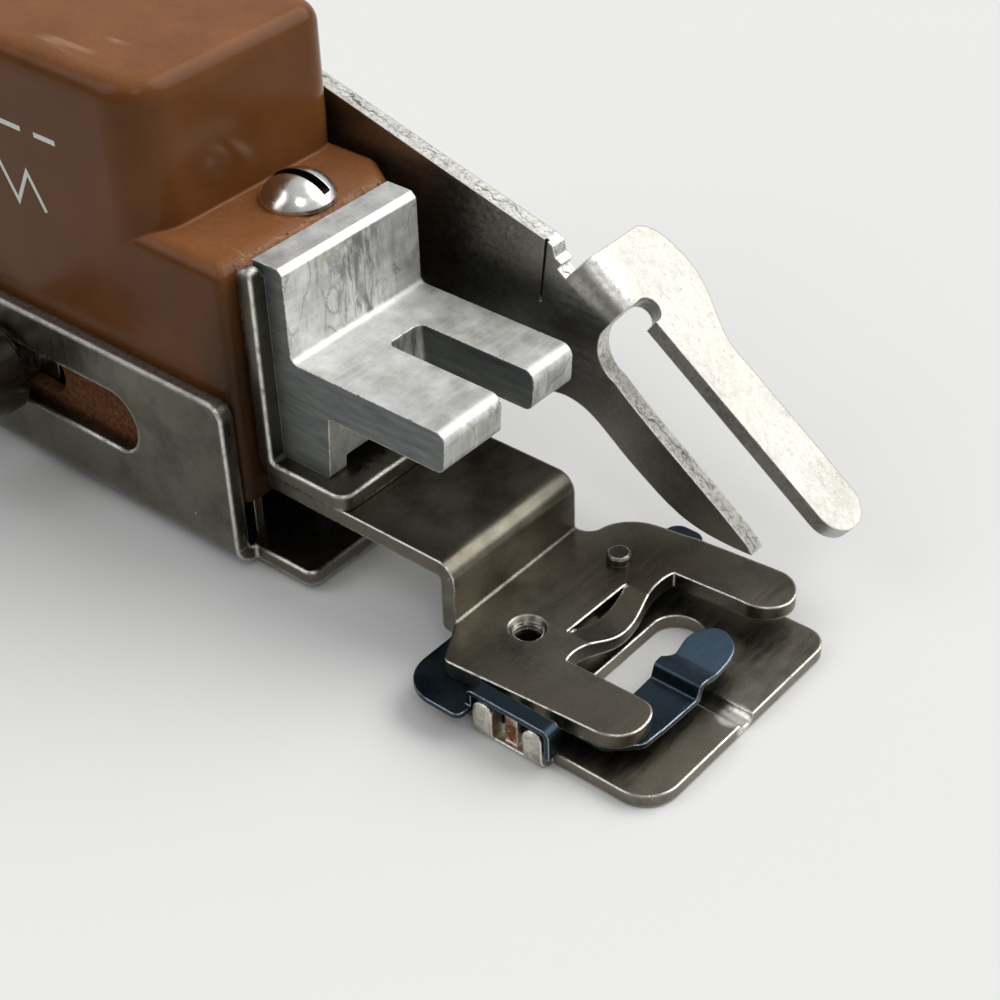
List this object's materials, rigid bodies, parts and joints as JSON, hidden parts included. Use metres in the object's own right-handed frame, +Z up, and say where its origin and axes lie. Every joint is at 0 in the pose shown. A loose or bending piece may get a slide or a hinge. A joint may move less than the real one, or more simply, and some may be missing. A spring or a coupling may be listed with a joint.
{
  "type": "sewing machine zigzag attachment",
  "caption": "Zigzag attachment for a sewing machine: lever-driven ratchet and cam in a moulded housing shift a bent steel foot sideways; slotted yoke clamps to the presser bar.",
  "frame": {"origin": "on the underside of the sole plate, straight below the threaded hole of the foot plate", "axes": "+X forward to the operator along the foot, +Y to the operator's right-hand side where the fork lever is, +Z up"},
  "size_m": [0.1151, 0.0562, 0.055],
  "materials": {
    "plated_steel": "worn nickel plate",
    "lever_nickel": "satin nickel plate with bright sheared edges",
    "yoke_alloy": "extruded, matt with fine lines",
    "brown_moulding": "glossy",
    "blued_spring": "blued spring steel",
    "polished_nickel": "polished nickel",
    "turned_steel": "turned or stamped, bare",
    "spring_wire": "bare spring steel",
    "bush_brass": "turned"
  },
  "bodies": {
    "base": {"base_tray": "plated_steel", "housing": "brown_moulding", "cover_screw": "polished_nickel", "cover_pillar": "turned_steel", "rear_screws": "turned_steel", "angle_bracket": "plated_steel", "presser_yoke": "yoke_alloy", "yoke_screws": "turned_steel", "slide_guide": "turned_steel", "shaft_bush": "bush_brass", "bearing_post": "turned_steel", "return_spring": "spring_wire", "wheel_axle": "turned_steel", "axle_clips": "turned_steel", "click_spring": "spring_wire", "follower_pin": "turned_steel"},
    "lever": {"fork_lever": "lever_nickel", "rocker_shaft": "turned_steel", "crank_arm": "turned_steel"},
    "pawl": {"drive_pawl": "turned_steel"},
    "wheel": {"ratchet_wheel": "turned_steel", "stitch_cam": "turned_steel", "wheel_hub": "bush_brass"},
    "follower": {"follower_lever": "turned_steel", "follower_nose": "turned_steel"},
    "foot": {"foot_arm": "plated_steel", "foot_rivet": "polished_nickel", "link_pin": "turned_steel", "sole_plate": "plated_steel"},
    "finger": {"finger_spring": "blued_spring"},
    "width_slider": {"width_stud": "turned_steel", "width_stop": "turned_steel", "knob_washer": "polished_nickel"},
    "knob": {"width_knob": "polished_nickel"}
  },
  "joints": [
    {"name": "lever_swing", "type": "hinge", "parent": "base", "child": "lever", "pos_m": [-0.076, 0.0241, 0.0417], "axis": [0, -1, 0], "range_deg": [0, 20], "stiffness_Nm_per_rad": 0.02, "springref_deg": -22.92},
    {"name": "pawl_level", "type": "hinge", "parent": "lever", "child": "pawl", "pos_m": [-0.07756, 0.019, 0.03284], "axis": [0, -1, 0], "range_deg": [-20, 0]},
    {"name": "wheel_index", "type": "hinge", "parent": "base", "child": "wheel", "pos_m": [-0.066, 0.00865, 0.0327], "axis": [0, 0, -1], "range_deg": [0, 22.5]},
    {"name": "follower_rock", "type": "hinge", "parent": "base", "child": "follower", "pos_m": [-0.056, 0.00175, 0.025], "axis": [0, 0, 1], "range_deg": [0, 6.89]},
    {"name": "foot_shift", "type": "slide", "parent": "base", "child": "foot", "axis": [0, 1, 0], "range_m": [0, 0.0018]},
    {"name": "finger_slide", "type": "slide", "parent": "foot", "child": "finger", "axis": [0, -1, 0], "range_m": [0, 0.002]},
    {"name": "width_slide", "type": "slide", "parent": "base", "child": "width_slider", "axis": [1, 0, 0], "range_m": [-0.004, 0.0049]},
    {"name": "knob_turn", "type": "hinge", "parent": "width_slider", "child": "knob", "pos_m": [-0.0719, -0.0147, 0.01375], "axis": [0, -1, 0], "range_deg": [0, 180]}
  ],
  "couplings": [
    {"joint": "pawl_level", "follows": "lever_swing", "ratio": -1},
    {"joint": "wheel_index", "follows": "lever_swing", "ratio": 1.125},
    {"joint": "follower_rock", "follows": "lever_swing", "ratio": 0.34455},
    {"joint": "foot_shift", "follows": "lever_swing", "m_per_rad": 0.005156}
  ]
}
